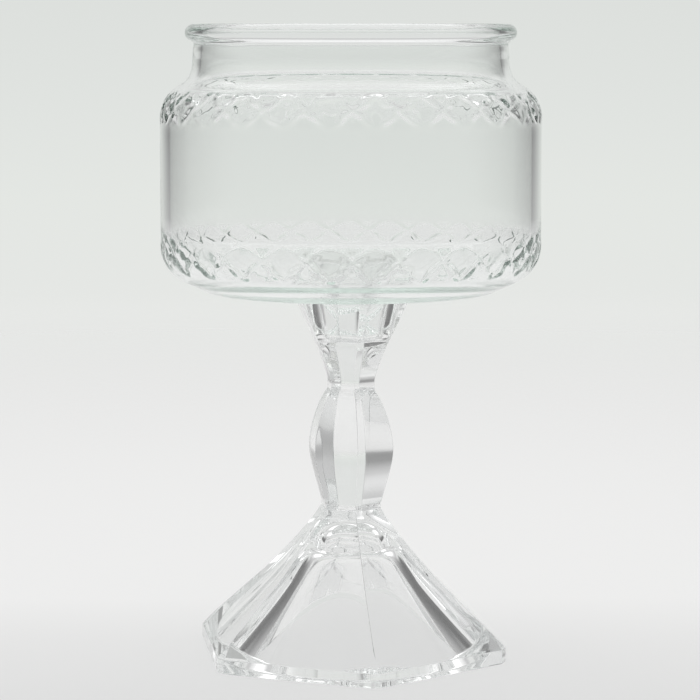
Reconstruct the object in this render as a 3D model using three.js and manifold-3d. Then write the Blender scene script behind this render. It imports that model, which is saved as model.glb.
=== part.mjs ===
// Wine glass made of a wide mason jar cemented onto a pressed glass candlestick.
// Millimetres, +Z up, origin at the centre of the foot's resting face.

import * as THREE from "three";
import { mergeVertices } from "three/addons/utils/BufferGeometryUtils.js";
import Module from "manifold-3d";

const wasm = await Module();
wasm.setup();

// Candlestick: six sides, radii measured out to the corners, stages stacked upward
const SIDES = 6;
const FOOT_RADIUS = 46.8;
const PLINTH_HEIGHT = 4.7;
const PLINTH_EDGE = 0.6;
const FLANK_HEIGHT = 36.8;
const FLANK_FOOT_RISE = 17.4;
const FLANK_FOOT_RUN = 19.7;
const COLLAR_RADIUS = 9;
const COLLAR_HEIGHT = 2;
const COLLAR_EDGE = 0.3;
const BULB_RADIUS = 12.9;
const BULB_LOWER_HEIGHT = 15.5;
const BULB_UPPER_HEIGHT = 16.2;
const NECK_RADIUS = 7.15;
const NECK_HEIGHT = 2.1;
const CUP_WAIST_RADIUS = 13.1;
const CUP_LOWER_HEIGHT = 15;
const CUP_RIM_RADIUS = 18.8;
const CUP_UPPER_HEIGHT = 11.7;

// Corner flats along the ridges, and the wider ones on the plinth's corners
const RIDGE_FLAT = 0.5;
const PLINTH_CORNER_FLAT = 3.2;
const PLINTH_CORNER_HEIGHT = 7.6;

// Socket for a taper candle in the cup
const SOCKET_MOUTH_RADIUS = 12;
const SOCKET_TAPER = 2;
const SOCKET_DEPTH = 14.4;
const SOCKET_BOTTOM_ROUND = 2.5;

// Hollow pressed into the foot from below
const FOOT_LAND = 7.2;
const HOLLOW_DROP = 13.1;
const HOLLOW_TOP_WALL = 7.9;
const HOLLOW_DOME_STEP = 0.5;
const HOLLOW_DOME_LIP = 0.4;
const HOLLOW_DOME_HEIGHT = 6.3;

// Cement between the cup's rim and the underside of the jar
const CEMENT_THICKNESS = 0.5;
const CEMENT_INSET = 0.8;

// Jar: outside of the wall, heights measured from its base ring
const JAR_HEIGHT = 74.3;
const JAR_TURN_DEGREES = -1.4;
const BODY_RADIUS = 53.3;
const BODY_WALL = 2.7;
const FLOOR_THICKNESS = 3.6;
const BASE_RING_RADIUS = 40.2;
const BASE_RING_WIDTH = 1.6;
const PUSH_UP_DEPTH = 1.3;
const PUSH_UP_SLOPE_WIDTH = 4;
const HEEL_HEIGHT = 14;
const SHOULDER_START = 46;
const SHOULDER_TURN_HEIGHT = 56;
const SHOULDER_TURN_RADIUS = 49.9;
const JAR_NECK_START = 64;
const JAR_NECK_RADIUS = 43.8;
const JAR_NECK_TAPER = 0.3;
const JAR_NECK_WALL = 2.4;
const INNER_NECK_DROP = 4.5;
const BEAD_ROUND = 2.4;

// Quilted bands round the heel and the shoulder
const BAND_REPEATS = 27;
const BAND_PROUD = 0.3;
const GROOVE_DEPTH = 1;
const BAND_EDGE = 0.3;
const CROSSING_SHARE = 0.57;
const LOWER_BAND_BOTTOM = 6.3;
const LOWER_BAND_HEIGHT = 11.2;
const UPPER_BAND_BOTTOM = 46.4;
const UPPER_BAND_HEIGHT = 9.6;

// Shapes of the curves: how each leaves its start and meets its end, as shares of its run and rise
const FLANK_ONWARD_SHARE = 0.1;
const FLANK_MEET = [0.14, 0.25];
const BULB_LOWER_CURVE = [0.53, 0.47, 0, 0.31];
const BULB_UPPER_CURVE = [0, 0.28, 0.55, 0.23];
const CUP_CURVE = [0, 0.15, 0.55, 0.4];
const HOLLOW_CURVE = [0.72, 0.675, 0.16, 0];
const HEEL_CURVE = [0.37, 0.22, 0, 0.78];
const SHOULDER_CURVE = [0, 0.65, 0.48, 0.22];
const JAR_NECK_CURVE = [0.29, 0.25, 0.07, 0.82];
const INNER_SHOULDER_CURVE = [0.67, 0.27, 0, 0.55];
const INNER_HEEL_CURVE = [0, 0.8, 0.62, 0];

// Fineness of the surfaces
const JAR_COLUMNS = 2 * BAND_REPEATS;
const ROUND_SEGMENTS = 48;
const OUTLINE_STEPS = 200;
const CURVE_STEPS = 8;
const BULB_STEPS = 10;
const SMALL_ROUND_STEPS = 5;
const LIP_ROUND_STEPS = 3;
const HEEL_ROWS = 4;
const WALL_ROWS = 2;
const SHOULDER_ROWS = 5;

// How far a cutting body reaches past the surface it opens
const CUT_PAST = 1;

// Derived places
const APOTHEM = Math.cos(Math.PI / SIDES);
const FLANK_TOP = PLINTH_HEIGHT + FLANK_HEIGHT;
const COLLAR_TOP = FLANK_TOP + COLLAR_HEIGHT;
const BULB_MIDDLE = COLLAR_TOP + BULB_LOWER_HEIGHT;
const BULB_TOP = BULB_MIDDLE + BULB_UPPER_HEIGHT;
const NECK_TOP = BULB_TOP + NECK_HEIGHT;
const CUP_WAIST = NECK_TOP + CUP_LOWER_HEIGHT;
const CANDLESTICK_HEIGHT = CUP_WAIST + CUP_UPPER_HEIGHT;
const JAR_SEAT = CANDLESTICK_HEIGHT + CEMENT_THICKNESS;
const JAR_BASE = JAR_SEAT - PUSH_UP_DEPTH;

const point = (radius, height) => new THREE.Vector2(radius, height);

function curve(start, end, [leaveRun, leaveRise, meetRun, meetRise], steps) {
  const run = end.x - start.x;
  const rise = end.y - start.y;
  const leave = point(start.x + leaveRun * run, start.y + leaveRise * rise);
  const meet = point(end.x - meetRun * run, end.y - meetRise * rise);
  return new THREE.CubicBezierCurve(start, leave, meet, end).getPoints(steps);
}

function arc(centre, radius, fromDegrees, toDegrees, steps) {
  const points = [];
  for (let i = 0; i <= steps; i += 1) {
    const angle = THREE.MathUtils.degToRad(fromDegrees + ((toDegrees - fromDegrees) * i) / steps);
    points.push(point(centre.x + radius * Math.cos(angle), centre.y + radius * Math.sin(angle)));
  }
  return points;
}

// Radius of an outline that only climbs, at a given height
function radiusAt(outline, height) {
  const next = outline.findIndex((p) => p.y >= height);
  if (next < 0) return outline[outline.length - 1].x;
  if (next === 0) return outline[0].x;
  const below = outline[next - 1];
  const above = outline[next];
  return THREE.MathUtils.mapLinear(height, below.y, above.y, below.x, above.x);
}

function evenHeights(from, to, count) {
  return Array.from({ length: count }, (_, i) => from + ((to - from) * (i + 1)) / (count + 1));
}

function geometryFrom(vertices, triangles) {
  const geometry = new THREE.BufferGeometry();
  geometry.setAttribute("position", new THREE.Float32BufferAttribute(vertices, 3));
  geometry.setIndex(triangles);
  return geometry;
}

// Closed body from stacked rings of equally many points, with a flat fan at each end
function loft(rings) {
  const count = rings[0].length;
  const triangles = [];
  for (let r = 0; r < rings.length - 1; r += 1) {
    for (let i = 0; i < count; i += 1) {
      const a = r * count + i;
      const b = r * count + ((i + 1) % count);
      triangles.push(a, b, b + count, a, b + count, a + count);
    }
  }
  const top = (rings.length - 1) * count;
  for (let i = 1; i < count - 1; i += 1) {
    triangles.push(0, i + 1, i);
    triangles.push(top, top + i, top + i + 1);
  }
  return geometryFrom(rings.flat().flatMap((p) => [p.x, p.y, p.z]), triangles);
}

function lathe(outline) {
  const geometry = new THREE.LatheGeometry(outline, ROUND_SEGMENTS);
  geometry.rotateX(Math.PI / 2);
  return geometry;
}

// Solid for cutting, from a geometry whose faces may be inside out
function solidFrom(geometry) {
  const bare = geometry.clone();
  bare.deleteAttribute("normal");
  bare.deleteAttribute("uv");
  const merged = mergeVertices(bare, 1e-4);
  const triangles = new Uint32Array(merged.index.array);
  const vertices = new Float32Array(merged.attributes.position.array);
  if (signedVolume(vertices, triangles) < 0) triangles.reverse();
  return new wasm.Manifold(new wasm.Mesh({ numProp: 3, vertProperties: vertices, triVerts: triangles }));
}

function signedVolume(vertices, triangles) {
  const corner = (i) => new THREE.Vector3().fromArray(vertices, 3 * triangles[i]);
  let volume = 0;
  for (let i = 0; i < triangles.length; i += 3) {
    volume += corner(i).dot(corner(i + 1).cross(corner(i + 2))) / 6;
  }
  return volume;
}

function geometryOf(solid) {
  const mesh = solid.getMesh();
  return geometryFrom(Array.from(mesh.vertProperties), Array.from(mesh.triVerts));
}

function part(name, geometry, material) {
  const mesh = new THREE.Mesh(geometry, material);
  mesh.name = name;
  return mesh;
}

// Width of the flat across each corner of the candlestick at a height
function cornerFlat(height) {
  if (height <= PLINTH_HEIGHT) return PLINTH_CORNER_FLAT;
  if (height >= PLINTH_CORNER_HEIGHT) return RIDGE_FLAT;
  return THREE.MathUtils.mapLinear(
    height, PLINTH_HEIGHT, PLINTH_CORNER_HEIGHT, PLINTH_CORNER_FLAT, RIDGE_FLAT,
  );
}

// One section of the candlestick: a hexagon with its corners cut flat
function hexagonRing(radius, height) {
  const side = 2 * radius * Math.sin(Math.PI / SIDES);
  const flat = Math.min(cornerFlat(height), side / 3);
  const cut = flat / (2 * Math.sin(Math.PI / 2 - Math.PI / SIDES));
  const corners = Array.from({ length: SIDES }, (_, i) => {
    const angle = (2 * Math.PI * i) / SIDES;
    return new THREE.Vector3(radius * Math.cos(angle), radius * Math.sin(angle), height);
  });
  return corners.flatMap((corner, i) => {
    const before = corners[(i + SIDES - 1) % SIDES];
    const after = corners[(i + 1) % SIDES];
    return [
      corner.clone().lerp(before, cut / side),
      corner.clone().lerp(after, cut / side),
    ];
  });
}

// Flank of the foot: straight out of the plinth, then sweeping up into the collar
function flankOutline(steps) {
  const bottom = point(FOOT_RADIUS - PLINTH_EDGE, PLINTH_HEIGHT);
  const bend = point(bottom.x - FLANK_FOOT_RUN, PLINTH_HEIGHT + FLANK_FOOT_RISE);
  const top = point(COLLAR_RADIUS + COLLAR_EDGE, FLANK_TOP);
  // The sweep leaves along the straight stretch below it
  const onwardRun = (-FLANK_ONWARD_SHARE * FLANK_FOOT_RUN) / (top.x - bend.x);
  const onwardRise = (FLANK_ONWARD_SHARE * FLANK_FOOT_RISE) / (top.y - bend.y);
  return [bottom, ...curve(bend, top, [onwardRun, onwardRise, ...FLANK_MEET], steps)];
}

function bulbOutline(steps) {
  const bottom = point(COLLAR_RADIUS + COLLAR_EDGE, COLLAR_TOP);
  const widest = point(BULB_RADIUS, BULB_MIDDLE);
  const top = point(NECK_RADIUS, BULB_TOP);
  return [
    ...curve(bottom, widest, BULB_LOWER_CURVE, steps),
    ...curve(widest, top, BULB_UPPER_CURVE, steps).slice(1),
  ];
}

function cupOutline(steps) {
  const bottom = point(NECK_RADIUS, NECK_TOP);
  const waist = point(CUP_WAIST_RADIUS, CUP_WAIST);
  return [...curve(bottom, waist, CUP_CURVE, steps), point(CUP_RIM_RADIUS, CANDLESTICK_HEIGHT)];
}

// Hollow under the foot: a bell that keeps a wall inside the flank, with a dome on top
function footHollow() {
  const mouth = FOOT_RADIUS * APOTHEM - FOOT_LAND;
  const shoulderHeight = FLANK_TOP - HOLLOW_DROP;
  const shoulder = radiusAt(flankOutline(OUTLINE_STEPS), shoulderHeight) * APOTHEM - HOLLOW_TOP_WALL;
  const domeRadius = shoulder - HOLLOW_DOME_STEP;
  const dome = Array.from({ length: SMALL_ROUND_STEPS + 1 }, (_, i) => {
    const angle = (Math.PI / 2) * (i / SMALL_ROUND_STEPS);
    const height = shoulderHeight + HOLLOW_DOME_LIP + HOLLOW_DOME_HEIGHT * Math.sin(angle);
    return point(i === SMALL_ROUND_STEPS ? 0 : domeRadius * Math.cos(angle), height);
  });
  const flare = (HOLLOW_CURVE[0] * (mouth - shoulder)) / (HOLLOW_CURVE[1] * shoulderHeight);
  return lathe([
    point(0, -CUT_PAST),
    point(mouth + CUT_PAST * flare, -CUT_PAST),
    ...curve(point(mouth, 0), point(shoulder, shoulderHeight), HOLLOW_CURVE, CURVE_STEPS),
    ...dome,
  ]);
}

function candleSocket() {
  const bottom = CANDLESTICK_HEIGHT - SOCKET_DEPTH;
  const bottomRadius = SOCKET_MOUTH_RADIUS - SOCKET_TAPER;
  const round = arc(
    point(bottomRadius - SOCKET_BOTTOM_ROUND, bottom + SOCKET_BOTTOM_ROUND),
    SOCKET_BOTTOM_ROUND, -90, 0, SMALL_ROUND_STEPS,
  );
  return lathe([
    point(0, bottom),
    ...round,
    point(SOCKET_MOUTH_RADIUS, CANDLESTICK_HEIGHT),
    point(SOCKET_MOUTH_RADIUS, CANDLESTICK_HEIGHT + CUT_PAST),
    point(0, CANDLESTICK_HEIGHT + CUT_PAST),
  ]);
}

function makeCandlestick(material) {
  const flank = flankOutline(CURVE_STEPS);
  const outline = [
    point(FOOT_RADIUS, 0),
    point(FOOT_RADIUS, PLINTH_HEIGHT - PLINTH_EDGE),
    flank[0],
    point(radiusAt(flank, PLINTH_CORNER_HEIGHT), PLINTH_CORNER_HEIGHT),
    ...flank.slice(1),
    point(COLLAR_RADIUS, FLANK_TOP + COLLAR_EDGE),
    point(COLLAR_RADIUS, COLLAR_TOP - COLLAR_EDGE),
    ...bulbOutline(BULB_STEPS),
    ...cupOutline(CURVE_STEPS),
  ];
  const body = solidFrom(loft(outline.map((p) => hexagonRing(p.x, p.y))));
  const hollowed = body.subtract(solidFrom(footHollow())).subtract(solidFrom(candleSocket()));
  return part("candlestick", geometryOf(hollowed), material);
}

// Thin ring of clear cement on the cup's rim
function makeCement(material) {
  const outer = new THREE.Shape(
    Array.from({ length: SIDES }, (_, i) => {
      const angle = (2 * Math.PI * i) / SIDES;
      const radius = CUP_RIM_RADIUS - CEMENT_INSET;
      return point(radius * Math.cos(angle), radius * Math.sin(angle));
    }),
  );
  outer.holes.push(new THREE.Path().absarc(0, 0, SOCKET_MOUTH_RADIUS + CEMENT_INSET, 0, 2 * Math.PI, true));
  const geometry = new THREE.ExtrudeGeometry(outer, {
    depth: CEMENT_THICKNESS,
    bevelEnabled: false,
    curveSegments: ROUND_SEGMENTS / 2,
  });
  const cement = part("cement", geometry, material);
  cement.position.z = CANDLESTICK_HEIGHT;
  return cement;
}

// Outside of the jar's wall from the base ring to the bead, without the bands
function jarOutside() {
  const ring = point(BASE_RING_RADIUS, 0);
  const body = point(BODY_RADIUS, HEEL_HEIGHT);
  const shoulder = point(BODY_RADIUS, SHOULDER_START);
  const turn = point(SHOULDER_TURN_RADIUS, SHOULDER_TURN_HEIGHT);
  const neck = point(JAR_NECK_RADIUS + JAR_NECK_TAPER, JAR_NECK_START);
  return [
    ...curve(ring, body, HEEL_CURVE, OUTLINE_STEPS),
    ...curve(shoulder, turn, SHOULDER_CURVE, OUTLINE_STEPS),
    ...curve(turn, neck, JAR_NECK_CURVE, OUTLINE_STEPS).slice(1),
    point(JAR_NECK_RADIUS, JAR_HEIGHT - 2 * BEAD_ROUND),
  ];
}

// Rows across one band: a small step, then corners of the quilting at three heights.
// The grooves cross at the even columns of the middle row and end at the odd columns of the others.
function bandRows(outline, bottom, height) {
  const row = (z, raised) => ({ radius: radiusAt(outline, z), height: z, raised });
  const low = bottom + BAND_EDGE;
  const high = bottom + height - BAND_EDGE;
  return [
    row(bottom),
    row(low, 0),
    row(THREE.MathUtils.lerp(low, high, CROSSING_SHARE), 1),
    row(high, 0),
    row(bottom + height),
  ];
}

// Whole profile of the jar, from the middle of its underside round to the middle of its floor
function jarRows() {
  const outline = jarOutside();
  const plain = (z) => ({ radius: radiusAt(outline, z), height: z });
  const asRow = (p) => ({ radius: p.x, height: p.y });
  const lowerTop = LOWER_BAND_BOTTOM + LOWER_BAND_HEIGHT;
  const upperTop = UPPER_BAND_BOTTOM + UPPER_BAND_HEIGHT;
  const ringInside = BASE_RING_RADIUS - BASE_RING_WIDTH;
  const neckInside = JAR_NECK_RADIUS - JAR_NECK_WALL;
  const bodyInside = BODY_RADIUS - BODY_WALL;
  const bead = point(JAR_NECK_RADIUS, JAR_HEIGHT - BEAD_ROUND);
  const lip = point(neckInside + BEAD_ROUND / 2, JAR_HEIGHT - BEAD_ROUND / 2);
  const floor = PUSH_UP_DEPTH + FLOOR_THICKNESS;
  const innerShoulder = SHOULDER_START - BODY_WALL / 2;
  const innerNeck = JAR_NECK_START - INNER_NECK_DROP;
  const innerTurn = point(SHOULDER_TURN_RADIUS - BODY_WALL, SHOULDER_TURN_HEIGHT - BODY_WALL / 2);
  const outside = [
    { radius: ringInside - PUSH_UP_SLOPE_WIDTH, height: PUSH_UP_DEPTH },
    { radius: ringInside, height: 0 },
    ...[0, ...evenHeights(0, LOWER_BAND_BOTTOM, HEEL_ROWS)].map(plain),
    ...bandRows(outline, LOWER_BAND_BOTTOM, LOWER_BAND_HEIGHT),
    ...evenHeights(lowerTop, UPPER_BAND_BOTTOM, WALL_ROWS).map(plain),
    ...bandRows(outline, UPPER_BAND_BOTTOM, UPPER_BAND_HEIGHT),
    ...evenHeights(upperTop, JAR_NECK_START, SHOULDER_ROWS).map(plain),
    plain(JAR_NECK_START),
    ...arc(bead, BEAD_ROUND, -90, 90, CURVE_STEPS).map(asRow),
  ];
  const inside = [
    ...arc(lip, BEAD_ROUND / 2, 90, 180, LIP_ROUND_STEPS),
    point(neckInside, innerNeck),
    ...curve(innerTurn, point(bodyInside, innerShoulder), INNER_SHOULDER_CURVE, CURVE_STEPS),
    ...curve(point(bodyInside, HEEL_HEIGHT + BODY_WALL), point(BASE_RING_RADIUS - BODY_WALL, floor),
      INNER_HEEL_CURVE, CURVE_STEPS),
  ].map(asRow);
  return [{ radius: 0, height: PUSH_UP_DEPTH }, ...outside, ...inside, { radius: 0, height: floor }];
}

// Radius at a column: a band row stands proud at its raised columns and dips into a groove at the others
function quiltedRadius(row, column) {
  if (row.raised === undefined) return row.radius;
  const proud = row.radius + BAND_PROUD;
  return column % 2 === row.raised ? proud : proud - GROOVE_DEPTH;
}

function makeJar(material) {
  const rows = jarRows();
  const rings = rows.slice(1, -1);
  const vertices = [0, 0, rows[0].height];
  const radii = rings.map((row) => Array.from({ length: JAR_COLUMNS }, (_, c) => quiltedRadius(row, c)));
  rings.forEach((row, r) => {
    radii[r].forEach((radius, c) => {
      const angle = (2 * Math.PI * c) / JAR_COLUMNS;
      vertices.push(radius * Math.cos(angle), radius * Math.sin(angle), row.height);
    });
  });
  vertices.push(0, 0, rows[rows.length - 1].height);
  const index = (r, c) => 1 + r * JAR_COLUMNS + (c % JAR_COLUMNS);
  const last = rings.length - 1;
  const end = 1 + rings.length * JAR_COLUMNS;
  const triangles = [];
  for (let c = 0; c < JAR_COLUMNS; c += 1) {
    triangles.push(0, index(0, c + 1), index(0, c));
    triangles.push(end, index(last, c), index(last, c + 1));
    for (let r = 0; r < last; r += 1) {
      const [a, b, d, e] = [index(r, c), index(r, c + 1), index(r + 1, c + 1), index(r + 1, c)];
      const next = (c + 1) % JAR_COLUMNS;
      // The crease joins the two deeper corners, so that a groove stays sharp
      const rising = radii[r][c] + radii[r + 1][next] < radii[r][next] + radii[r + 1][c];
      if (rising) triangles.push(a, b, d, a, d, e);
      else triangles.push(a, b, e, b, d, e);
    }
  }
  const jar = part("jar", geometryFrom(vertices, triangles), material);
  jar.position.z = JAR_BASE;
  jar.rotation.z = THREE.MathUtils.degToRad(JAR_TURN_DEGREES);
  return jar;
}

const jarGlass = new THREE.MeshStandardMaterial({ color: 0xd6ddd6, roughness: 0.04, metalness: 0 });
const candlestickGlass = new THREE.MeshStandardMaterial({ color: 0xe4e6e4, roughness: 0.03, metalness: 0 });
const clearCement = new THREE.MeshStandardMaterial({ color: 0xdddfd8, roughness: 0.2, metalness: 0 });

const group = new THREE.Group();
group.add(makeCandlestick(candlestickGlass));
group.add(makeCement(clearCement));
group.add(makeJar(jarGlass));

export default group;
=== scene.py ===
"""Wine glass made of a mason jar on a pressed glass candlestick.

Fine glass surfaces over the solids, a pale studio round them and the photo's camera.
"""

import math

import bpy
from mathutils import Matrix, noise


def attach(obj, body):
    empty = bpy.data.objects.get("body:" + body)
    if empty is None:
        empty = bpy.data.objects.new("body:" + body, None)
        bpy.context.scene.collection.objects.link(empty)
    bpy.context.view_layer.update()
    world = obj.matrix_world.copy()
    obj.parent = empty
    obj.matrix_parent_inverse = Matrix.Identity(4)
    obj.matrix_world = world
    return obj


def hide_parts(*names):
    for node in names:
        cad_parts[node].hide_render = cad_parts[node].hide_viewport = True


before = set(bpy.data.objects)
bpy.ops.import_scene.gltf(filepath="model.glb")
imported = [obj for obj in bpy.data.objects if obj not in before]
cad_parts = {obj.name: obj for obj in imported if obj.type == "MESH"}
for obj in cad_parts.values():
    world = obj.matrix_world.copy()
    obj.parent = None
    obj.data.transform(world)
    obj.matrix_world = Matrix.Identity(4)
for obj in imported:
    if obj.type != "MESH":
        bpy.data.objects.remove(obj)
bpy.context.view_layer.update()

# Lengths in the outlines below are millimetres and become metres in the meshes
MM = 0.001

# Candlestick: six sides, radii measured out to the corners
SIDES = 6
APOTHEM = math.cos(math.pi / SIDES)
FOOT_RADIUS = 46.8
PLINTH_HEIGHT = 4.7
PLINTH_EDGE = 0.6
# The flank is straight up to its bend, runs on a little the same way, and curves up to the collar
FLANK_TOP = 41.5
FLANK_BEND = (26.5, 22.1)
FLANK_ONWARD = 0.1
FLANK_MEET = (0.14, 0.25)
COLLAR_RADIUS = 9.0
COLLAR_STEP = 0.3
COLLAR_TOP = 43.5
BULB_RADIUS = 12.85
BULB_MIDDLE = 59.0
BULB_TOP = 75.2
BULB_LOW_CURVE = (0.53, 0.47, 0, 0.31)
BULB_HIGH_CURVE = (0, 0.28, 0.55, 0.23)
NECK_RADIUS = 7.15
NECK_TOP = 77.3
CUP_WAIST = (13.1, 92.3)
CUP_CURVE = (0, 0.15, 0.55, 0.4)
CUP_RIM_RADIUS = 18.75
CANDLESTICK_HEIGHT = 104.0

# Roundings of the candlestick's edges, and distances of the points that keep its small steps crisp
FOOT_ROUND = 0.5
PLINTH_ROUND = 0.3
CUP_RIM_ROUND = 0.4
COLLAR_SOFT = 0.25
COLLAR_SUPPORT = 0.6
NECK_SUPPORT = 0.4

# Bevels on the candlestick's corners: width on the plinth, width above it, and the rise between the two
BEVEL_PLINTH = 3.0
BEVEL_ABOVE = 0.15
BEVEL_RISE = 2.9
# Half the angle between a bevel and the side next to it
BEVEL_LEAN = math.pi / (2 * SIDES)

# Rounding at both ends of a bevel: radius, its largest share of the section's radius, and turns in degrees
CORNER_SOFT = 0.45
CORNER_SOFT_SHARE = 0.06
CORNER_TURNS = (0, 10, 20, 30)
CORNER_POINTS = 2 * len(CORNER_TURNS)

# Flat sides of a section: parts, and how far in the corners' support points lie, with its largest share
SIDE_PARTS = 7
SIDE_SUPPORT = 0.3
SIDE_SUPPORT_SHARE = 0.2

# Round openings of the candlestick
SOCKET_MOUTH_RADIUS = 12.0
SOCKET_BOTTOM_RADIUS = 10.0
SOCKET_DEPTH = 14.4
SOCKET_ROUND = 2.5
SOCKET_MOUTH_ROUND = 0.6
# Last point of the socket's straight wall from its bottom corner, and the innermost ring of its bottom
SOCKET_WALL_END = (0.15, 3.4)
SOCKET_CENTRE = 1.5
HOLLOW_MOUTH = 33.3
HOLLOW_MOUTH_ROUND = 0.9
HOLLOW_SHOULDER = (9.6, 28.4)
HOLLOW_CURVE = (0.16, 0.0, 0.72, 0.675)
HOLLOW_DOME_RADIUS = 9.1
HOLLOW_DOME_LIP = 0.4
HOLLOW_DOME_BASE = HOLLOW_SHOULDER[1] + HOLLOW_DOME_LIP
HOLLOW_DOME_HEIGHT = 6.7
HOLLOW_DOME_TURNS = range(10, 91, 8)
# Points of the lip between dome and shoulder, outward and upward from the dome's base
HOLLOW_LIP = ((0.08, -0.22), (0.24, -0.36))

# Jar: heights measured from its base ring
JAR_BASE = 103.2
JAR_HEIGHT = 74.3
JAR_TURN = math.radians(-1.4)
BODY_RADIUS = 53.25
BASE_RING_RADIUS = 40.2
HEEL_HEIGHT = 14.0
HEEL_CURVE = (0.37, 0.22, 0.0, 0.78)
SHOULDER_START = 46.0
SHOULDER_TURN = (49.9, 56.0)
SHOULDER_CURVE = (0, 0.65, 0.48, 0.22)
JAR_NECK_START = (44.1, 64.0)
JAR_NECK_CURVE = (0.29, 0.25, 0.07, 0.82)
JAR_NECK_RADIUS = 43.75
BEAD_ROUND = 2.4
BEAD_START = -58
BEAD_CURVE = (0, 0.6, 0.55, 0.4)
BEAD_FLARE = 0.9

# Underside of the jar: push-up in the middle, its slope down to the base ring, and the ring's inner edge
PUSH_UP = 1.3
PUSH_UP_SLOPE = 4.0
PUSH_UP_CURVE = (0.4, 0, 0.35, 0.5)
RING_WIDTH = 1.6
RING_EDGE = (0.8, 0.12)
RING_EDGE_CURVE = (0.2, 0.9, 0.6, 0)
HEEL_START = 0.02

# Inside of the jar: its wall thins from the body's to the neck's over a rise above the shoulder's start
INNER_FLOOR = 4.9
INNER_FLOOR_RADIUS = 36.0
INNER_FLOOR_CENTRE = 2.0
INNER_HEEL_TOP = 18.0
INNER_HEEL_CURVE = (0, 0.78, 0.6, 0)
INNER_BODY = 50.55
INNER_NECK = 41.35
INNER_NECK_END = 67.0
INNER_SHOULDER_TOP = 66.0
INNER_SHOULDER_DROP = 1.5
INNER_BODY_DROP = 2.0
WALL_CHANGE_RISE = 18.0
LEAN_REACH = 0.4

# Quilted bands: lowest height, height where the grooves cross, highest height, and the run-out at each edge
BAND_REPEATS = 27
BANDS = ((6.3, 12.4, 17.0, 1.2, 7.0), (46.4, 51.9, 56.0, 5.0, 1.2))
BAND_PROUD = 0.12
BAND_MARGIN = 2.4
GROOVE_DEPTH = 0.44
GROOVE_WIDTH = 1.5

# Unevenness of the quilting: size of its lumps, how far they shift a groove, deepen it and lift the wall
UNEVEN_SIZE = 2.9
UNEVEN_SHIFT = 0.9
UNEVEN_DEPTH = 0.7
UNEVEN_LIFT = 0.06
NOISE_GAIN = 1.6
NOISE_START = 30.0
NOISE_LAYER_GAP = 20.0

# Fineness of the jar: columns round it, and the steps between its rows
FINE_COLUMNS = 32 * BAND_REPEATS
PLAIN_COLUMNS = 8 * BAND_REPEATS
FINE_STEP = 0.4
WALL_STEP = 4.0
SHOULDER_STEP = 0.6
INNER_SHOULDER_STEP = 0.7
JAR_NECK_ROWS = (65.5, 67.5)

# Cement: heights over the cup's rim, six-sided outer radius, round inner radius, and unevenness of both edges
CEMENT_HEIGHTS = (0.02, 0.48)
CEMENT_OUTER = 17.2
CEMENT_INNER = 12.2
CEMENT_UNEVEN = 0.25
CEMENT_LUMPS = 3
CEMENT_NOISE_START = 4.2
CEMENT_SQUARENESS = 2.2
CEMENT_COLUMNS = 96
CEMENT_ROWS = 12


def clamp(value):
    """The value kept between 0 and 1."""
    return min(1.0, max(0.0, value))


def curve(start, end, shape, steps):
    """Points of a cubic curve. Its shape says how it leaves and meets its ends, in shares of run and rise."""
    run, rise = end[0] - start[0], end[1] - start[1]
    leave = (start[0] + shape[0] * run, start[1] + shape[1] * rise)
    meet = (end[0] - shape[2] * run, end[1] - shape[3] * rise)
    points = []
    for i in range(steps + 1):
        t = i / steps
        share = ((1 - t) ** 3, 3 * t * (1 - t) ** 2, 3 * t * t * (1 - t), t ** 3)
        points.append(tuple(
            share[0] * start[k] + share[1] * leave[k] + share[2] * meet[k] + share[3] * end[k] for k in (0, 1)
        ))
    return points


def arc(centre, radius, from_degrees, to_degrees, steps):
    """Points of an arc, with both ends."""
    points = []
    for i in range(steps + 1):
        angle = math.radians(from_degrees + (to_degrees - from_degrees) * i / steps)
        points.append((centre[0] + radius * math.cos(angle), centre[1] + radius * math.sin(angle)))
    return points


def line(start, end, steps):
    """Points after the start, up to the end."""
    return [
        tuple(start[k] + (end[k] - start[k]) * (i + 1) / steps for k in (0, 1)) for i in range(steps)
    ]


def heights(first, last, step):
    """Heights after the first one, up to the last one, about a step apart."""
    count = max(1, round(abs(last - first) / step))
    return [first + (last - first) * (i + 1) / count for i in range(count)]


def fillet(before, corner, after, radius, steps, support=0.25, limit=0.45):
    """A corner of an outline rounded off, with a support point on each side.

    The rounding takes no more of either side than the limit's share.
    """
    to_before = (before[0] - corner[0], before[1] - corner[1])
    to_after = (after[0] - corner[0], after[1] - corner[1])
    length_before, length_after = math.hypot(*to_before), math.hypot(*to_after)
    a = (to_before[0] / length_before, to_before[1] / length_before)
    b = (to_after[0] / length_after, to_after[1] / length_after)
    half = math.acos(max(-1.0, min(1.0, a[0] * b[0] + a[1] * b[1]))) / 2
    cut = min(radius / math.tan(half), limit * length_before, limit * length_after)
    reach = cut / math.cos(half)
    middle = (a[0] + b[0], a[1] + b[1])
    size = math.hypot(*middle)
    centre = (corner[0] + middle[0] / size * reach, corner[1] + middle[1] / size * reach)
    start = (corner[0] + a[0] * cut, corner[1] + a[1] * cut)
    end = (corner[0] + b[0] * cut, corner[1] + b[1] * cut)
    first = math.atan2(start[1] - centre[1], start[0] - centre[0])
    last = math.atan2(end[1] - centre[1], end[0] - centre[0])
    turn = (last - first + math.pi) % (2 * math.pi) - math.pi
    true_radius = math.hypot(start[0] - centre[0], start[1] - centre[1])
    points = [(start[0] + a[0] * support, start[1] + a[1] * support)]
    points += arc(centre, true_radius, math.degrees(first), math.degrees(first + turn), steps)
    points.append((end[0] + b[0] * support, end[1] + b[1] * support))
    return points


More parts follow.
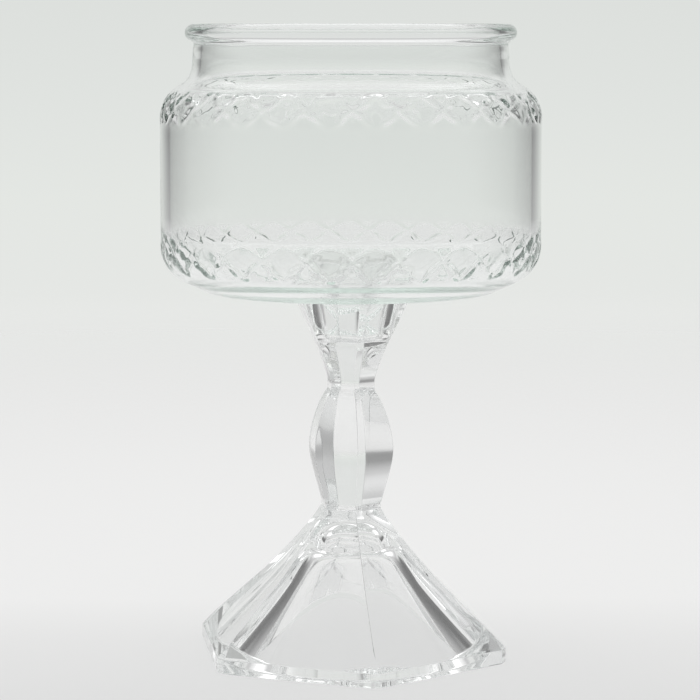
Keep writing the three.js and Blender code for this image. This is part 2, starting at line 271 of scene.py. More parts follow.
def radius_at(outline, height):
    """Radius of a rising outline at a height."""
    for low, high in zip(outline, outline[1:]):
        if low[1] <= height <= high[1]:
            share = (height - low[1]) / max(high[1] - low[1], 1e-9)
            return low[0] + share * (high[0] - low[0])
    return outline[0][0] if height < outline[0][1] else outline[-1][0]


def mesh_object(name, vertices, faces):
    """A smooth mesh from points in millimetres."""
    mesh = bpy.data.meshes.new(name)
    mesh.from_pydata([(x * MM, y * MM, z * MM) for x, y, z in vertices], [], faces)
    mesh.validate()
    mesh.polygons.foreach_set("use_smooth", [True] * len(mesh.polygons))
    mesh.update()
    piece = bpy.data.objects.new(name, mesh)
    bpy.context.collection.objects.link(piece)
    return piece


def closed_mesh(name, bottom, rings, top):
    """A closed surface from a first point, rings of points going round and outward, and a last point."""
    vertices = [bottom]
    starts = []
    for ring in rings:
        starts.append(len(vertices))
        vertices.extend(ring)
    vertices.append(top)
    last = len(vertices) - 1
    count = len(rings[0])
    faces = [(0, starts[0] + (i + 1) % count, starts[0] + i) for i in range(count)]
    placed = list(zip(starts, rings))
    for (start, ring), (above, next_ring) in zip(placed, placed[1:]):
        faces += ring_faces(start, len(ring), above, len(next_ring))
    count = len(rings[-1])
    faces += [(last, starts[-1] + i, starts[-1] + (i + 1) % count) for i in range(count)]
    return mesh_object(name, vertices, faces)


def ring_faces(start, count, above, next_count):
    """Faces between two rings, where one may have a whole number of times as many points as the other."""
    if count == next_count:
        return [
            (start + i, start + (i + 1) % count, above + (i + 1) % count, above + i) for i in range(count)
        ]
    faces = []
    fine, coarse = max(count, next_count), min(count, next_count)
    ratio = fine // coarse
    for i in range(coarse):
        follow = (i + 1) % coarse
        for k in range(ratio):
            a, b = i * ratio + k, (i * ratio + k + 1) % fine
            if count > next_count:
                faces.append((start + a, start + b, above + (i if k < ratio // 2 else follow)))
            else:
                faces.append((above + b, above + a, start + (i if k < ratio // 2 else follow)))
        middle = i * ratio + ratio // 2
        if count > next_count:
            faces.append((start + middle, above + follow, above + i))
        else:
            faces.append((above + middle, start + i, start + follow))
    return faces


# Jar

def jar_outside():
    """Outline of the wall from the base ring up to the bead, without the bands."""
    steps = 200
    return (
        curve((BASE_RING_RADIUS, 0.0), (BODY_RADIUS, HEEL_HEIGHT), HEEL_CURVE, steps)
        + curve((BODY_RADIUS, SHOULDER_START), SHOULDER_TURN, SHOULDER_CURVE, steps)
        + curve(SHOULDER_TURN, JAR_NECK_START, JAR_NECK_CURVE, steps)[1:]
        + [(JAR_NECK_RADIUS, JAR_HEIGHT - 2 * BEAD_ROUND)]
    )


def jar_underside():
    """Outline from near the middle of the push-up out over the base ring to the lower band's margin."""
    ring_inside = BASE_RING_RADIUS - RING_WIDTH
    slope_top = (ring_inside - PUSH_UP_SLOPE, PUSH_UP)
    slope_foot = (ring_inside, RING_EDGE[1])
    ring = (ring_inside + RING_EDGE[0], 0.0)
    heel = curve((BASE_RING_RADIUS, 0.0), (BODY_RADIUS, HEEL_HEIGHT), HEEL_CURVE, steps=60)
    return (
        line((0.0, PUSH_UP), slope_top, steps=3)
        + curve(slope_top, slope_foot, PUSH_UP_CURVE, steps=6)[1:]
        + curve(slope_foot, ring, RING_EDGE_CURVE, steps=3)[1:]
        + [p for p in heel if HEEL_START < p[1] < BANDS[0][0] - BAND_MARGIN][::2]
    )


def inner_shoulder(outline):
    """The inside of the wall round the neck and shoulder, a wall's thickness from the outside, downward."""
    body_wall, neck_wall = BODY_RADIUS - INNER_BODY, JAR_NECK_RADIUS - INNER_NECK
    points = []
    for z in heights(INNER_SHOULDER_TOP, SHOULDER_START - INNER_SHOULDER_DROP, INNER_SHOULDER_STEP):
        lean = (radius_at(outline, z + LEAN_REACH) - radius_at(outline, z - LEAN_REACH)) / (2 * LEAN_REACH)
        length = math.hypot(1.0, lean)
        wall = body_wall + clamp((z - SHOULDER_START) / WALL_CHANGE_RISE) * (neck_wall - body_wall)
        points.append((radius_at(outline, z) - wall / length, z + wall * lean / length))
    return points


def jar_rim_and_inside(outline):
    """Outline from the bead over the rim and down the inside to near the middle of the floor."""
    neck_top = JAR_HEIGHT - 2 * BEAD_ROUND
    bead = arc((JAR_NECK_RADIUS, JAR_HEIGHT - BEAD_ROUND), BEAD_ROUND, BEAD_START, 90, steps=18)
    lip = (INNER_NECK + BEAD_ROUND / 2, JAR_HEIGHT - BEAD_ROUND / 2)
    heel_top, floor_edge = (INNER_BODY, INNER_HEEL_TOP), (INNER_FLOOR_RADIUS, INNER_FLOOR)
    return (
        curve((JAR_NECK_RADIUS, neck_top - BEAD_FLARE), bead[0], BEAD_CURVE, steps=6)
        + bead[1:]
        + arc(lip, BEAD_ROUND / 2, 90, 180, steps=7)
        + line((INNER_NECK, lip[1]), (INNER_NECK, INNER_NECK_END), steps=3)
        + inner_shoulder(outline)
        + line((INNER_BODY, SHOULDER_START - INNER_BODY_DROP), heel_top, steps=8)
        + curve(heel_top, floor_edge, INNER_HEEL_CURVE, steps=18)[1:]
        + line(floor_edge, (INNER_FLOOR_CENTRE, INNER_FLOOR), steps=7)
    )


def jar_rows():
    """Profile of the jar as (radius, height, columns), from under its middle round to its inner floor."""
    outline = jar_outside()
    low_start, low_end = BANDS[0][0] - BAND_MARGIN, BANDS[0][2] + BAND_MARGIN
    high_start, high_end = BANDS[1][0] - BAND_MARGIN, BANDS[1][2] + BAND_MARGIN
    stretches = (
        (heights(low_start, low_end, FINE_STEP), FINE_COLUMNS),
        (heights(low_end, high_start, WALL_STEP), PLAIN_COLUMNS),
        (heights(high_start, high_end, FINE_STEP), FINE_COLUMNS),
        (heights(high_end, JAR_NECK_START[1], SHOULDER_STEP), PLAIN_COLUMNS),
        (JAR_NECK_ROWS, PLAIN_COLUMNS),
    )
    rows = [(r, z, PLAIN_COLUMNS) for r, z in jar_underside()]
    for stretch, columns in stretches:
        rows += [(radius_at(outline, z), z, columns) for z in stretch]
    return rows + [(r, z, PLAIN_COLUMNS) for r, z in jar_rim_and_inside(outline)]


def groove_distance(turn, height, band):
    """Distance in millimetres to the nearest groove, at a turn in repeats and a height inside the band."""
    low, crossing, high = band[:3]
    reach = high - crossing if height > crossing else crossing - low
    share = abs(height - crossing) / reach
    half = math.pi * BODY_RADIUS / BAND_REPEATS
    across = abs((turn + 0.5) % 1.0 - 0.5)
    return abs(2 * across - share) * half * reach / math.hypot(half, reach)


def lumps(turn, height, layer):
    """Smooth unevenness from about -1 to 1 at a place of the wall."""
    angle = 2 * math.pi * turn / BAND_REPEATS
    around = BODY_RADIUS / UNEVEN_SIZE
    return NOISE_GAIN * noise.noise((
        around * math.cos(angle) + NOISE_LAYER_GAP * layer,
        around * math.sin(angle),
        height / UNEVEN_SIZE + NOISE_START,
    ))


def band_relief(turn, height):
    """How far the wall stands out at a turn in repeats and a height."""
    for band in BANDS:
        low, _, high, low_edge, high_edge = band
        inside = min((height - low) / low_edge, (high - height) / high_edge)
        if inside < 0:
            continue
        rise = 0.5 - 0.5 * math.cos(math.pi * min(1.0, inside))
        shift = min(inside, 1.0) * UNEVEN_SHIFT * lumps(turn, height, 0)
        distance = groove_distance(turn, min(high, max(low, height + shift)), band)
        groove = 0.5 + 0.5 * math.cos(math.pi * min(1.0, distance / GROOVE_WIDTH))
        depth = GROOVE_DEPTH * (1 + UNEVEN_DEPTH * lumps(turn, height, 1))
        return rise * (BAND_PROUD + UNEVEN_LIFT * lumps(turn, height, 2) - depth * groove)
    return 0.0


def make_jar():
    rings = []
    for radius, height, columns in jar_rows():
        ring = []
        for column in range(columns):
            turn = column / columns
            relief = band_relief(turn * BAND_REPEATS, height) if columns == FINE_COLUMNS else 0.0
            angle = 2 * math.pi * turn + JAR_TURN
            r = radius + relief
            ring.append((r * math.cos(angle), r * math.sin(angle), JAR_BASE + height))
        rings.append(ring)
    return closed_mesh("jar_fine", (0, 0, JAR_BASE + PUSH_UP), rings, (0, 0, JAR_BASE + INNER_FLOOR))


# Candlestick

def bevel_width(height):
    """Width of the bevel on each corner of the candlestick at a height."""
    return BEVEL_PLINTH + clamp((height - PLINTH_HEIGHT) / BEVEL_RISE) * (BEVEL_ABOVE - BEVEL_PLINTH)


def bevelled_corner(radius, height):
    """Points of the corner that lies on the X axis."""
    half_width = bevel_width(height) / 2
    soft = min(CORNER_SOFT, CORNER_SOFT_SHARE * radius)
    out = radius - half_width * math.tan(math.pi / SIDES)
    inward = soft / math.cos(BEVEL_LEAN)
    corner = []
    for side in (-1, 1):
        centre = (out - inward * math.cos(BEVEL_LEAN), side * (half_width - inward * math.sin(BEVEL_LEAN)))
        for degrees in CORNER_TURNS[::side]:
            turn = math.radians(side * degrees)
            corner.append((centre[0] + soft * math.cos(turn), centre[1] + soft * math.sin(turn)))
    return corner


def hexagon_ring(radius, height):
    """One section: flat sides, and corners bevelled and softened."""
    corners = []
    for i in range(SIDES):
        cos, sin = math.cos(2 * math.pi * i / SIDES), math.sin(2 * math.pi * i / SIDES)
        corners.append([(x * cos - y * sin, x * sin + y * cos) for x, y in bevelled_corner(radius, height)])
    ring = []
    for corner, next_corner in zip(corners, corners[1:] + corners[:1]):
        ring.extend(corner)
        start, end = corner[-1], next_corner[0]
        support = min(SIDE_SUPPORT_SHARE, SIDE_SUPPORT / math.dist(start, end))
        for part in range(SIDE_PARTS + 1):
            share = support + (1 - 2 * support) * part / SIDE_PARTS
            ring.append(tuple(start[k] + (end[k] - start[k]) * share for k in (0, 1)))
    return [(x, y, height) for x, y in ring]


def round_ring(radius, height, count):
    """A circle whose points match those of a hexagonal section."""
    first = (CORNER_POINTS - 1) / 2
    turns = [2 * math.pi * (i - first) / count for i in range(count)]
    return [(radius * math.cos(turn), radius * math.sin(turn), height) for turn in turns]


def foot_outline():
    """Plinth and flank: corner radius and height from the resting face to below the collar."""
    foot, plinth = (FOOT_RADIUS, 0.0), (FOOT_RADIUS, PLINTH_HEIGHT - PLINTH_EDGE)
    shelf = (FOOT_RADIUS - PLINTH_EDGE, PLINTH_HEIGHT)
    top = (COLLAR_RADIUS + COLLAR_STEP, FLANK_TOP)
    run, rise = top[0] - FLANK_BEND[0], top[1] - FLANK_BEND[1]
    leave = (
        -FLANK_ONWARD * (shelf[0] - FLANK_BEND[0]) / run,
        FLANK_ONWARD * (FLANK_BEND[1] - shelf[1]) / rise,
    )
    return (
        fillet((HOLLOW_MOUTH, 0.0), foot, plinth, FOOT_ROUND, steps=4)
        + fillet(foot, plinth, shelf, PLINTH_ROUND, steps=2, support=0.1)
        + fillet(plinth, shelf, FLANK_BEND, PLINTH_ROUND, steps=2, support=0.1)
        + line(shelf, FLANK_BEND, steps=8)
        + curve(FLANK_BEND, top, leave + FLANK_MEET, steps=16)[1:]
    )


def stem_outline():
    """Collar, bulb, neck and cup: corner radius and height up to the cup's rim."""
    bulb_foot = (COLLAR_RADIUS + COLLAR_SOFT, COLLAR_TOP)
    bulb = (BULB_RADIUS, BULB_MIDDLE)
    rim = (CUP_RIM_RADIUS, CANDLESTICK_HEIGHT)
    collar_low = (FLANK_TOP + COLLAR_SOFT, FLANK_TOP + COLLAR_SUPPORT)
    collar_high = (COLLAR_TOP - COLLAR_SUPPORT, COLLAR_TOP - COLLAR_SOFT)
    return (
        [(COLLAR_RADIUS, height) for height in collar_low + collar_high]
        + curve(bulb_foot, bulb, BULB_LOW_CURVE, steps=16)
        + curve(bulb, (NECK_RADIUS, BULB_TOP), BULB_HIGH_CURVE, steps=18)[1:]
        + [(NECK_RADIUS, BULB_TOP + NECK_SUPPORT), (NECK_RADIUS, NECK_TOP - NECK_SUPPORT)]
        + curve((NECK_RADIUS, NECK_TOP), CUP_WAIST, CUP_CURVE, steps=16)
        + line(CUP_WAIST, rim, steps=5)[:-1]
        + fillet(CUP_WAIST, rim, (SOCKET_MOUTH_RADIUS, CANDLESTICK_HEIGHT), CUP_RIM_ROUND, steps=4)
    )


def hollow_outline():
    """Round hollow under the foot, from near its top down to its mouth."""
    mouth = (HOLLOW_MOUTH, 0.0)
    points = []
    for degrees in HOLLOW_DOME_TURNS:
        turn = math.radians(degrees)
        height = HOLLOW_DOME_BASE + HOLLOW_DOME_HEIGHT * math.cos(turn)
        points.append((HOLLOW_DOME_RADIUS * math.sin(turn), height))
    points += [(HOLLOW_DOME_RADIUS + out, HOLLOW_DOME_BASE + up) for out, up in HOLLOW_LIP]
    points += curve(HOLLOW_SHOULDER, mouth, HOLLOW_CURVE, steps=30)[:-1]
    return points + fillet(points[-1], mouth, (FOOT_RADIUS, 0.0), HOLLOW_MOUTH_ROUND, steps=5)


def socket_outline():
    """Candle socket, from its mouth down to near the middle of its bottom."""
    bottom = CANDLESTICK_HEIGHT - SOCKET_DEPTH
    mouth, end = (SOCKET_MOUTH_RADIUS, CANDLESTICK_HEIGHT), (SOCKET_BOTTOM_RADIUS, bottom)
    points = fillet((CUP_RIM_RADIUS, CANDLESTICK_HEIGHT), mouth, end, SOCKET_MOUTH_ROUND, steps=4)
    points += line(points[-1], (end[0] + SOCKET_WALL_END[0], end[1] + SOCKET_WALL_END[1]), steps=4)
    points += fillet(mouth, end, (0.0, bottom), SOCKET_ROUND, steps=6)
    return points + line(points[-1], (SOCKET_CENTRE, bottom), steps=3)


def make_candlestick():
    sections = [hexagon_ring(r, z) for r, z in foot_outline() + stem_outline()]
    count = len(sections[0])
    rings = [round_ring(r, z, count) for r, z in hollow_outline()]
    rings += sections
    rings += [round_ring(r, z, count) for r, z in socket_outline()]
    hollow_top = (0, 0, HOLLOW_DOME_BASE + HOLLOW_DOME_HEIGHT)
    return closed_mesh("candlestick_fine", hollow_top, rings, (0, 0, CANDLESTICK_HEIGHT - SOCKET_DEPTH))


# Cement

def make_cement():
    """Clear adhesive between the cup's rim and the jar, with a slightly uneven edge."""
    low, high = (CANDLESTICK_HEIGHT + height for height in CEMENT_HEIGHTS)
    vertices, faces = [], []
    for row in range(CEMENT_ROWS):
        angle = 2 * math.pi * row / CEMENT_ROWS
        rise = max(-1, min(1, CEMENT_SQUARENESS * math.sin(angle)))
        for column in range(CEMENT_COLUMNS):
            turn = 2 * math.pi * column / CEMENT_COLUMNS
            cos, sin = math.cos(turn), math.sin(turn)
            hexagon = CEMENT_OUTER * APOTHEM / math.cos((turn % (2 * math.pi / SIDES)) - math.pi / SIDES)
            uneven = CEMENT_UNEVEN * noise.noise((CEMENT_LUMPS * cos, CEMENT_LUMPS * sin, CEMENT_NOISE_START))
            outer, inner = hexagon + uneven, CEMENT_INNER - uneven
            r = (outer + inner) / 2 + (outer - inner) / 2 * math.cos(angle)
            vertices.append((r * cos, r * sin, (low + high) / 2 + (high - low) / 2 * rise))
        start, above = row * CEMENT_COLUMNS, (row + 1) % CEMENT_ROWS * CEMENT_COLUMNS
        faces += ring_faces(start, CEMENT_COLUMNS, above, CEMENT_COLUMNS)
    return mesh_object("cement_fine", vertices, faces)


# Materials

# Range of noise that is spread over a material's own range
NOISE_RANGE = (0.3, 0.7)
# Scale and detail of the ripples and the haze in the glass
RIPPLES = (22.0, 2.0)
HAZE = (160.0, 3.0)
# Share of light that each glass surface lets through to the floor
SHADE = 0.98


def new_material(name):
    material = bpy.data.materials.new(name)
    material.use_nodes = True
    nodes = material.node_tree.nodes
    nodes.clear()
    return material, nodes, material.node_tree.links


def noise_node(nodes, links, scale, detail):
    """Noise that is fixed to the object."""
    place = nodes.new("ShaderNodeTexCoord")
    texture = nodes.new("ShaderNodeTexNoise")
    texture.inputs["Scale"].default_value = scale
    texture.inputs["Detail"].default_value = detail
    links.new(place.outputs["Object"], texture.inputs["Vector"])
    return texture.outputs["Fac"]


def mapped(nodes, links, source, low, high):
    """Noise spread from a low to a high value."""
    node = nodes.new("ShaderNodeMapRange")
    node.inputs["From Min"].default_value = NOISE_RANGE[0]
    node.inputs["From Max"].default_value = NOISE_RANGE[1]
    node.inputs["To Min"].default_value = low
    node.inputs["To Max"].default_value = high
    links.new(source, node.inputs["Value"])
    return node.outputs["Result"]


def math_node(nodes, links, operation, first, second=0.0):
    """A sum, product or the like of one or two values, each a number or another node's output."""
    node = nodes.new("ShaderNodeMath")
    node.operation = operation
    for socket, value in zip(node.inputs, (first, second)):
        if isinstance(value, (int, float)):
            socket.default_value = value
        else:
            links.new(value, socket)
    return node.outputs[0]


def mix_colour(nodes, links, share, first, second):
    """A mix of two colours, where a number stands for a grey."""
    node = nodes.new("ShaderNodeMix")
    node.data_type = "RGBA"
    for socket, value in ((node.inputs[0], share), (node.inputs[6], first), (node.inputs[7], second)):
        if isinstance(value, float):
            socket.default_value = (value, value, value, 1)
        elif isinstance(value, tuple):
            socket.default_value = (*value, 1)
        else:
            links.new(value, socket)
    return node.outputs[2]


def ramp_node(nodes, links, source, low, high, stops):
    """A colour ramp over a range of the source, from stops of value and grey or colour."""
    share = nodes.new("ShaderNodeMapRange")
    share.inputs["From Min"].default_value = low
    share.inputs["From Max"].default_value = high
    links.new(source, share.inputs["Value"])
    ramp = nodes.new("ShaderNodeValToRGB")
    elements = ramp.color_ramp.elements
    while len(elements) < len(stops):
        elements.new(0.5)
    for element, (value, grey) in zip(elements, stops):
        element.position = (value - low) / (high - low)
        element.color = (*grey, 1) if isinstance(grey, tuple) else (grey, grey, grey, 1)
    links.new(share.outputs["Result"], ramp.inputs["Fac"])
    return ramp.outputs["Color"]


def mix_shader(nodes, links, share, first, second):
    node = nodes.new("ShaderNodeMixShader")
    for socket, value in zip(node.inputs, (share, first, second)):
        links.new(value, socket)
    return node.outputs["Shader"]


def clear_to_floor(nodes, links, surface):
    """Light reaches the floor straight through the glass, dimmed a little at each surface."""
    path = nodes.new("ShaderNodeLightPath")
    for ray in ("Is Diffuse Ray", "Is Shadow Ray"):
        clear_way = nodes.new("ShaderNodeBsdfTransparent")
        clear_way.inputs["Color"].default_value = (SHADE, SHADE, SHADE, 1)
        surface = mix_shader(nodes, links, path.outputs[ray], surface, clear_way.outputs["BSDF"])
    return surface


def glass(name, clear, tinted, roughness, ior, waviness, absorbed, density):
    """Pressed or moulded glass: faint ripples, faint haze, and colour that deepens with thickness."""
    material, nodes, links = new_material(name)
    shader = nodes.new("ShaderNodeBsdfPrincipled")
    shader.inputs["Transmission Weight"].default_value = 1.0
    shader.inputs["IOR"].default_value = ior
    ripples = noise_node(nodes, links, *RIPPLES)
    haze = noise_node(nodes, links, *HAZE)
    colour = mix_colour(nodes, links, mapped(nodes, links, ripples, 0.0, 1.0), clear, tinted)
    links.new(colour, shader.inputs["Base Color"])
    links.new(mapped(nodes, links, haze, *roughness), shader.inputs["Roughness"])
    bump = nodes.new("ShaderNodeBump")
    bump.inputs["Strength"].default_value = 1.0
    bump.inputs["Distance"].default_value = waviness
    links.new(ripples, bump.inputs["Height"])
    links.new(bump.outputs["Normal"], shader.inputs["Normal"])
    inside = nodes.new("ShaderNodeVolumeAbsorption")
    inside.inputs["Color"].default_value = (*absorbed, 1)
    inside.inputs["Density"].default_value = density
    output = nodes.new("ShaderNodeOutputMaterial")
    links.new(clear_to_floor(nodes, links, shader.outputs["BSDF"]), output.inputs["Surface"])
    links.new(inside.outputs["Volume"], output.inputs["Volume"])
    return material


# Camera in metres and radians, solved from the photo
AZIMUTH = math.radians(21.4)
DISTANCE = 0.728
CAMERA_HEIGHT = 0.1744
CAMERA_SIDE = -0.00025
PITCH = 0.1205
FOCAL_PIXELS = 2600
PHOTO_WIDTH = 700
SENSOR_WIDTH = 36
CLIP_NEAR, CLIP_FAR = 0.05, 50


def make_camera():
    data = bpy.data.cameras.new("camera")
    data.sensor_width = SENSOR_WIDTH
    data.lens = FOCAL_PIXELS / PHOTO_WIDTH * SENSOR_WIDTH
    data.clip_start, data.clip_end = CLIP_NEAR, CLIP_FAR
    camera = bpy.data.objects.new("camera", data)
    bpy.context.collection.objects.link(camera)
    camera.location = (
        DISTANCE * math.sin(AZIMUTH) + CAMERA_SIDE * math.cos(AZIMUTH),
        -DISTANCE * math.cos(AZIMUTH) + CAMERA_SIDE * math.sin(AZIMUTH),
        CAMERA_HEIGHT,
    )
    camera.rotation_euler = (math.pi / 2 - PITCH, 0, AZIMUTH)
    bpy.context.scene.camera = camera


# Studio: greys by elevation in degrees of the backdrop, and of the room to its left, to its right and behind
BACKDROP = (
    (-90.0, (0.80, 0.80, 0.80)), (-14.4, (0.76, 0.76, 0.76)), (-12.4, (0.83, 0.83, 0.826)),
    (-10.2, (0.855, 0.857, 0.851)), (-8.0, (0.83, 0.84, 0.825)), (-5.8, (0.785, 0.80, 0.78)),
    (-3.6, (0.775, 0.798, 0.77)), (-1.4, (0.745, 0.768, 0.745)), (0.8, (0.723, 0.745, 0.723)),
    (4.0, (0.745, 0.76, 0.745)), (21.5, (0.76, 0.77, 0.76)), (24.0, 0.6),
    (28.0, 0.58), (31.5, 0.78), (36.0, 0.95), (42.0, 0.95), (50.0, 0.79), (90.0, 0.78),
)
LEFT = (
    (-90.0, 0.80), (-9.0, 0.76), (-6.5, 0.62), (-4.0, 0.38), (-1.5, 0.28), (3.0, 0.28), (5.0, 0.36),
    (8.0, 0.5), (10.5, 0.62), (12.5, 0.86), (25.0, 0.9), (46.0, 0.9), (60.0, 0.85), (90.0, 0.78),
)
RIGHT = (
    (-90.0, 0.80), (-9.0, 0.76), (-6.5, 0.62), (-4.0, 0.38), (-1.5, 0.22), (1.0, 0.16), (10.0, 0.14),
    (18.0, 0.22), (24.0, 0.4), (34.0, 0.62), (60.0, 0.62), (72.0, 0.78), (90.0, 0.78),
)
BEHIND = (
    (-90.0, 0.83), (-20.0, 0.72), (-5.0, 0.55), (1.0, 0.45), (6.0, 0.42), (12.0, 0.46), (19.0, 0.55),
    (32.0, 0.57), (46.0, 0.57), (58.0, 0.66), (70.0, 0.8), (90.0, 0.78),
)
# Share of a bright softbox by elevation, which is seen only mirrored
SOFTBOX = ((-90.0, 0.0), (37.0, 0.0), (41.0, 1.0), (53.0, 1.0), (62.0, 0.0), (90.0, 0.0))
SOFTBOX_GREY = 1.75
# How much of the backdrop shows at an angle aside from its middle, near the table, higher up and at the top
FADE_LOW = ((0.0, 1.0), (10.0, 1.0), (15.0, 0.74), (22.0, 0.58), (29.0, 0.28), (36.0, 0.0))
FADE_HIGH = ((0.0, 1.0), (26.0, 1.0), (31.0, 0.8), (35.0, 0.25), (41.0, 0.0))
FADE_TOP = ((0.0, 1.0), (44.0, 1.0), (49.0, 0.6), (56.0, 0.0))
# Where the higher and the top one take over, by elevation
TO_HIGH = ((-90.0, 0.0), (-1.0, 0.0), (2.5, 1.0))
TO_TOP = ((-90.0, 0.0), (13.0, 0.0), (19.0, 1.0))
# By angle: where the room's sides give way to what is behind, and where straight rays see the backdrop again
TO_BEHIND = ((0.0, 0.0), (72.0, 0.0), (100.0, 1.0))
TO_BACKDROP = ((0.0, 0.0), (52.0, 0.0), (66.0, 1.0))
# Grey that lights the floor
FILL = 0.56
# One lamp hangs above the glass: metres and watts
LAMP_HEIGHT = 1.5
LAMP_WIDTH = 1.2
LAMP_POWER = 12.3
# Light bounces many times inside the glass
BOUNCES = 64
GLOSSY_BOUNCES = 48
CLEAR_BOUNCES = 16


def turned_to_camera(nodes, links, source):
    """The parts of a direction or place, turned so that Y points away from the camera."""
    turned = nodes.new("ShaderNodeVectorRotate")
    turned.rotation_type = "Z_AXIS"
    turned.inputs["Angle"].default_value = -AZIMUTH
    links.new(source, turned.inputs["Vector"])
    split = nodes.new("ShaderNodeSeparateXYZ")
    links.new(turned.outputs["Vector"], split.inputs[0])
    return split.outputs


def view_angles(nodes, links):
    """Elevation and angle from the backdrop's middle in degrees, and 1 to its right or 0 to its left."""
    direction = turned_to_camera(nodes, links, nodes.new("ShaderNodeTexCoord").outputs["Generated"])
    rise = math_node(nodes, links, "ARCSINE", direction["Z"])
    turn = math_node(nodes, links, "ARCTAN2", direction["X"], direction["Y"])
    elevation = math_node(nodes, links, "DEGREES", rise)
    aside = math_node(nodes, links, "ABSOLUTE", math_node(nodes, links, "DEGREES", turn))
    return elevation, aside, math_node(nodes, links, "GREATER_THAN", turn, 0.0)


def make_world():
    world = bpy.data.worlds.new("studio")
    bpy.context.scene.world = world
    world.use_nodes = True
    nodes, links = world.node_tree.nodes, world.node_tree.links
    nodes.clear()
    elevation, aside, to_right = view_angles(nodes, links)
    path = nodes.new("ShaderNodeLightPath").outputs
    mirrored = math_node(nodes, links, "GREATER_THAN", path["Glossy Depth"], 0.5)

    def by_elevation(stops):
        return ramp_node(nodes, links, elevation, -90, 90, stops)

    def by_angle(stops):
        return ramp_node(nodes, links, aside, 0, 180, stops)

    def larger(first, second):
        return math_node(nodes, links, "MAXIMUM", first, second)

    softbox = math_node(nodes, links, "MULTIPLY", by_elevation(SOFTBOX), mirrored)
    backdrop = mix_colour(nodes, links, softbox, by_elevation(BACKDROP), SOFTBOX_GREY)
    # What is mirrored shows the darker right side on both sides
    beside = mix_colour(nodes, links, larger(to_right, mirrored), by_elevation(LEFT), by_elevation(RIGHT))
    room = mix_colour(nodes, links, by_angle(TO_BEHIND), beside, by_elevation(BEHIND))
    shown = mix_colour(nodes, links, by_elevation(TO_HIGH), by_angle(FADE_LOW), by_angle(FADE_HIGH))
    shown = mix_colour(nodes, links, by_elevation(TO_TOP), shown, by_angle(FADE_TOP))
    straight = math_node(nodes, links, "SUBTRACT", 1.0, mirrored)
    beyond = math_node(nodes, links, "MULTIPLY", by_angle(TO_BACKDROP), straight)
    shown = larger(larger(shown, beyond), path["Is Camera Ray"])
    seen = mix_colour(nodes, links, shown, room, backdrop)
    background = nodes.new("ShaderNodeBackground")
    links.new(mix_colour(nodes, links, path["Is Diffuse Ray"], seen, FILL), background.inputs["Color"])
    output = nodes.new("ShaderNodeOutputWorld")
    links.new(background.outputs["Background"], output.inputs["Surface"])


def make_lamp():
    """A soft square lamp that shines straight down."""
    data = bpy.data.lights.new("softbox_above", "AREA")
    data.shape = "SQUARE"
    data.size = LAMP_WIDTH
    data.energy = LAMP_POWER
    lamp = bpy.data.objects.new("softbox_above", data)
    bpy.context.collection.objects.link(lamp)
    lamp.location = (0.0, 0.0, LAMP_HEIGHT)
    lamp.visible_camera = False
    lamp.visible_glossy = False
    lamp.visible_transmission = False


# Floor: rings of points in millimetres, just under the glass
FLOOR_RINGS = (200.0, 600.0, 1500.0)
FLOOR_POINTS = 96
FLOOR_HEIGHT = -0.05
# Metres from the glass over which it fades into the backdrop
FLOOR_FADE = (0.3, 1.1)
# Colour by metres behind the glass, with painted shade that darkens the floor in front of the glass towards
# the camera, and how far a fine grain shifts it
FLOOR_WITH_PAINTED_SHADE = (
    (-0.2, (0.66, 0.662, 0.658)), (-0.05, (0.73, 0.732, 0.73)), (0.02, (0.78, 0.78, 0.777)),
    (0.08, (0.84, 0.84, 0.836)), (0.3, (0.845, 0.845, 0.84)),
)
FLOOR_GRAIN = (9.0, 4.0)
FLOOR_GRAIN_SHIFT = 0.02


def floor_mesh():
    vertices = [(0, 0, FLOOR_HEIGHT)]
    for radius in FLOOR_RINGS:
        for i in range(FLOOR_POINTS):
            turn = 2 * math.pi * i / FLOOR_POINTS
            vertices.append((radius * math.cos(turn), radius * math.sin(turn), FLOOR_HEIGHT))
    faces = [(0, 1 + i, 1 + (i + 1) % FLOOR_POINTS) for i in range(FLOOR_POINTS)]
    for k in range(len(FLOOR_RINGS) - 1):
        start = 1 + k * FLOOR_POINTS
        around = ring_faces(start, FLOOR_POINTS, start + FLOOR_POINTS, FLOOR_POINTS)
        faces += [tuple(reversed(face)) for face in around]
    return mesh_object("floor", vertices, faces)


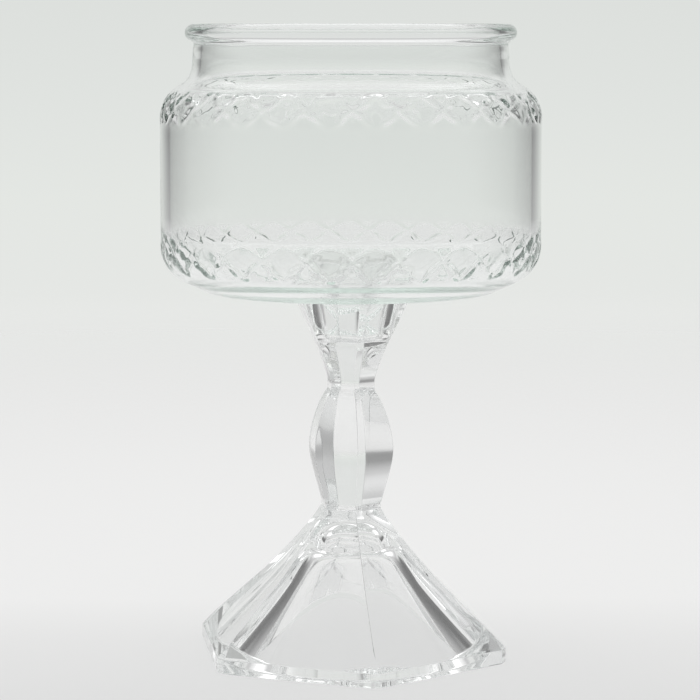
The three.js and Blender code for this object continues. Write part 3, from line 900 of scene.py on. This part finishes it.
def pale_floor():
    """Pale paint that is open from below, fades out away from the glass, and carries painted shade that
    darkens it in front of the glass.
    """
    material, nodes, links = new_material("pale_floor")
    place = nodes.new("ShaderNodeNewGeometry").outputs
    length = nodes.new("ShaderNodeVectorMath")
    length.operation = "LENGTH"
    links.new(place["Position"], length.inputs[0])
    fade = nodes.new("ShaderNodeMapRange")
    fade.interpolation_type = "SMOOTHSTEP"
    fade.inputs["From Min"].default_value = FLOOR_FADE[0]
    fade.inputs["From Max"].default_value = FLOOR_FADE[1]
    links.new(length.outputs["Value"], fade.inputs["Value"])
    hidden = math_node(nodes, links, "MAXIMUM", fade.outputs["Result"], place["Backfacing"])
    grain = noise_node(nodes, links, *FLOOR_GRAIN)
    shift = math_node(nodes, links, "MULTIPLY", grain, FLOOR_GRAIN_SHIFT)
    behind = turned_to_camera(nodes, links, place["Position"])["Y"]
    depth = math_node(nodes, links, "ADD", behind, shift)
    paint_and_shade = nodes.new("ShaderNodeBsdfDiffuse")
    # The ramp paints shade onto the floor in front of the glass, darker towards the camera
    links.new(ramp_node(nodes, links, depth, FLOOR_WITH_PAINTED_SHADE[0][0], FLOOR_WITH_PAINTED_SHADE[-1][0], FLOOR_WITH_PAINTED_SHADE), paint_and_shade.inputs["Color"])
    clear = nodes.new("ShaderNodeBsdfTransparent")
    surface = mix_shader(nodes, links, hidden, paint_and_shade.outputs["BSDF"], clear.outputs["BSDF"])
    output = nodes.new("ShaderNodeOutputMaterial")
    links.new(surface, output.inputs["Surface"])
    return material


make_camera()
make_world()
make_lamp()

floor = floor_mesh()
floor.data.materials.append(pale_floor())

jar = make_jar()
jar.data.materials.append(glass(
    "jar_glass", clear=(0.992, 0.997, 0.994), tinted=(0.985, 0.993, 0.989), roughness=(0.0, 0.01),
    ior=1.52, waviness=0.00006, absorbed=(0.13, 0.43, 0.28), density=3.0,
))
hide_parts("jar")
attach(jar, "root")

candlestick = make_candlestick()
candlestick.data.materials.append(glass(
    "candlestick_glass", clear=(0.997, 0.998, 0.997), tinted=(0.99, 0.992, 0.992), roughness=(0.0, 0.01),
    ior=1.52, waviness=0.00006, absorbed=(0.5, 0.62, 0.6), density=1.0,
))
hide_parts("candlestick")
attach(candlestick, "root")

cement = make_cement()
cement.data.materials.append(glass(
    "clear_cement", clear=(0.99, 0.99, 0.975), tinted=(0.95, 0.955, 0.93), roughness=(0.12, 0.3),
    ior=1.48, waviness=0.00005, absorbed=(0.6, 0.6, 0.5), density=12.0,
))
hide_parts("cement")
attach(cement, "root")

scene = bpy.context.scene
scene.view_settings.view_transform = "Standard"
scene.cycles.max_bounces = BOUNCES
scene.cycles.transmission_bounces = BOUNCES
scene.cycles.glossy_bounces = GLOSSY_BOUNCES
scene.cycles.transparent_max_bounces = CLEAR_BOUNCES
